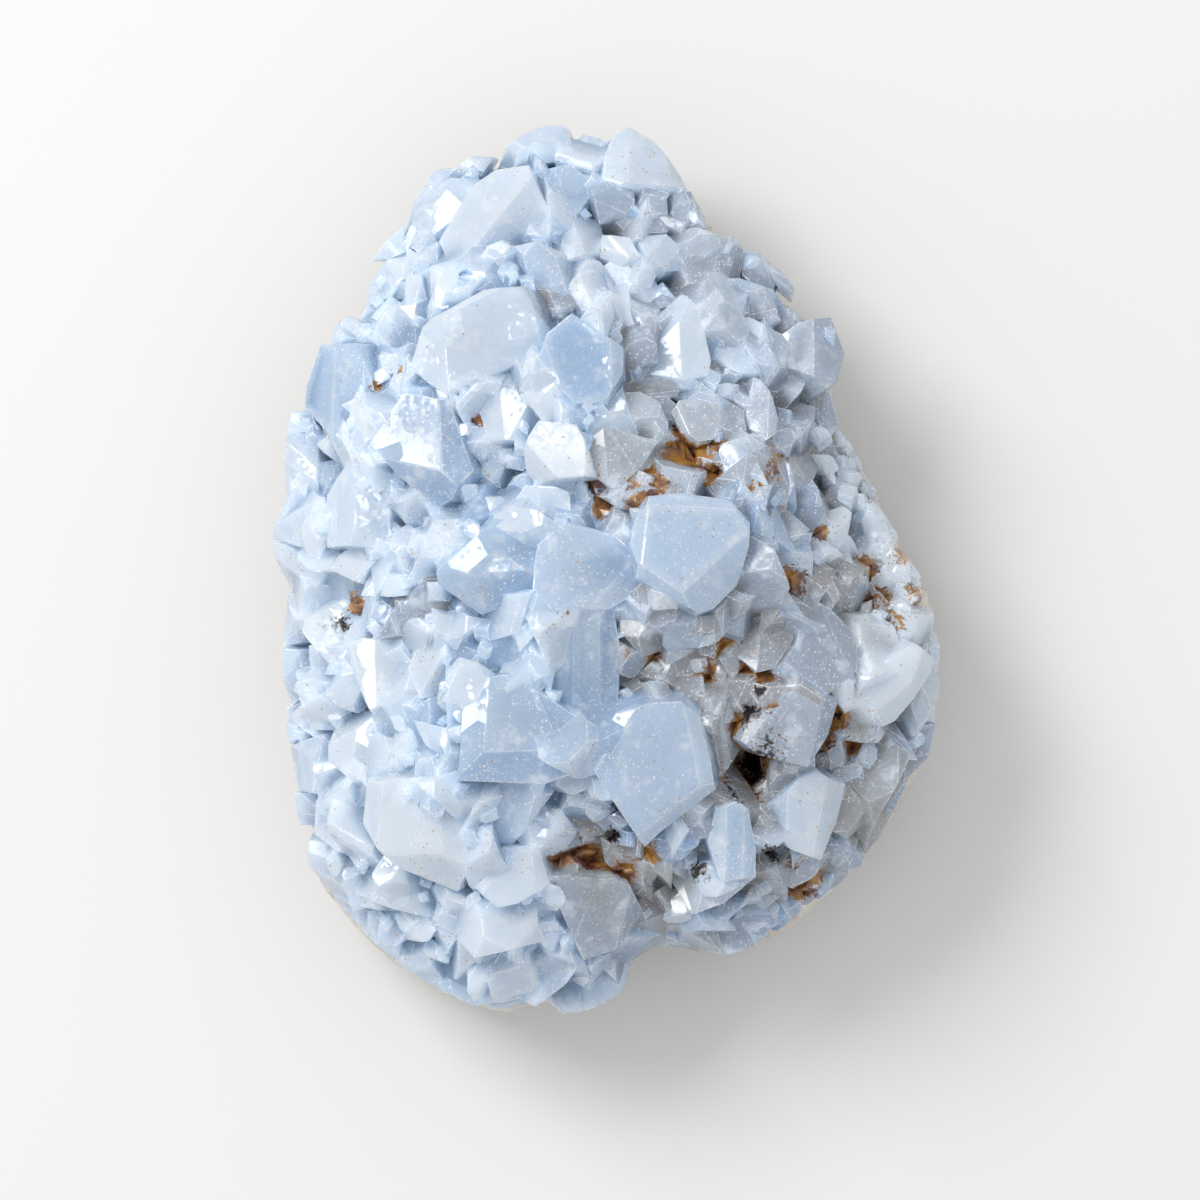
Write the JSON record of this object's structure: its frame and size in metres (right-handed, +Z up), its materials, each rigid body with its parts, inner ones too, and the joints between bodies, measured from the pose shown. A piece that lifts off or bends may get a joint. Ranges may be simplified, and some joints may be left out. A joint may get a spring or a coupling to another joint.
{
  "type": "rough celestite specimen",
  "caption": "Loose piece of geode lining: pale blue blocky crystals grown together over a crust of rough rock, ground smooth along two stretches of its rim.",
  "frame": {"origin": "middle of the bottom of the box that the stone fills, on the surface that it rests on", "axes": "+Y along the stone's length, +X across it, +Z up, out of the crystals"},
  "size_m": [0.082, 0.109, 0.0427],
  "materials": {
    "matrix": "rough, granular",
    "celestite": "translucent, satin to glassy crystal faces"
  },
  "bodies": {
    "root": {"matrix": "matrix", "crystals": "celestite"}
  },
  "joints": []
}
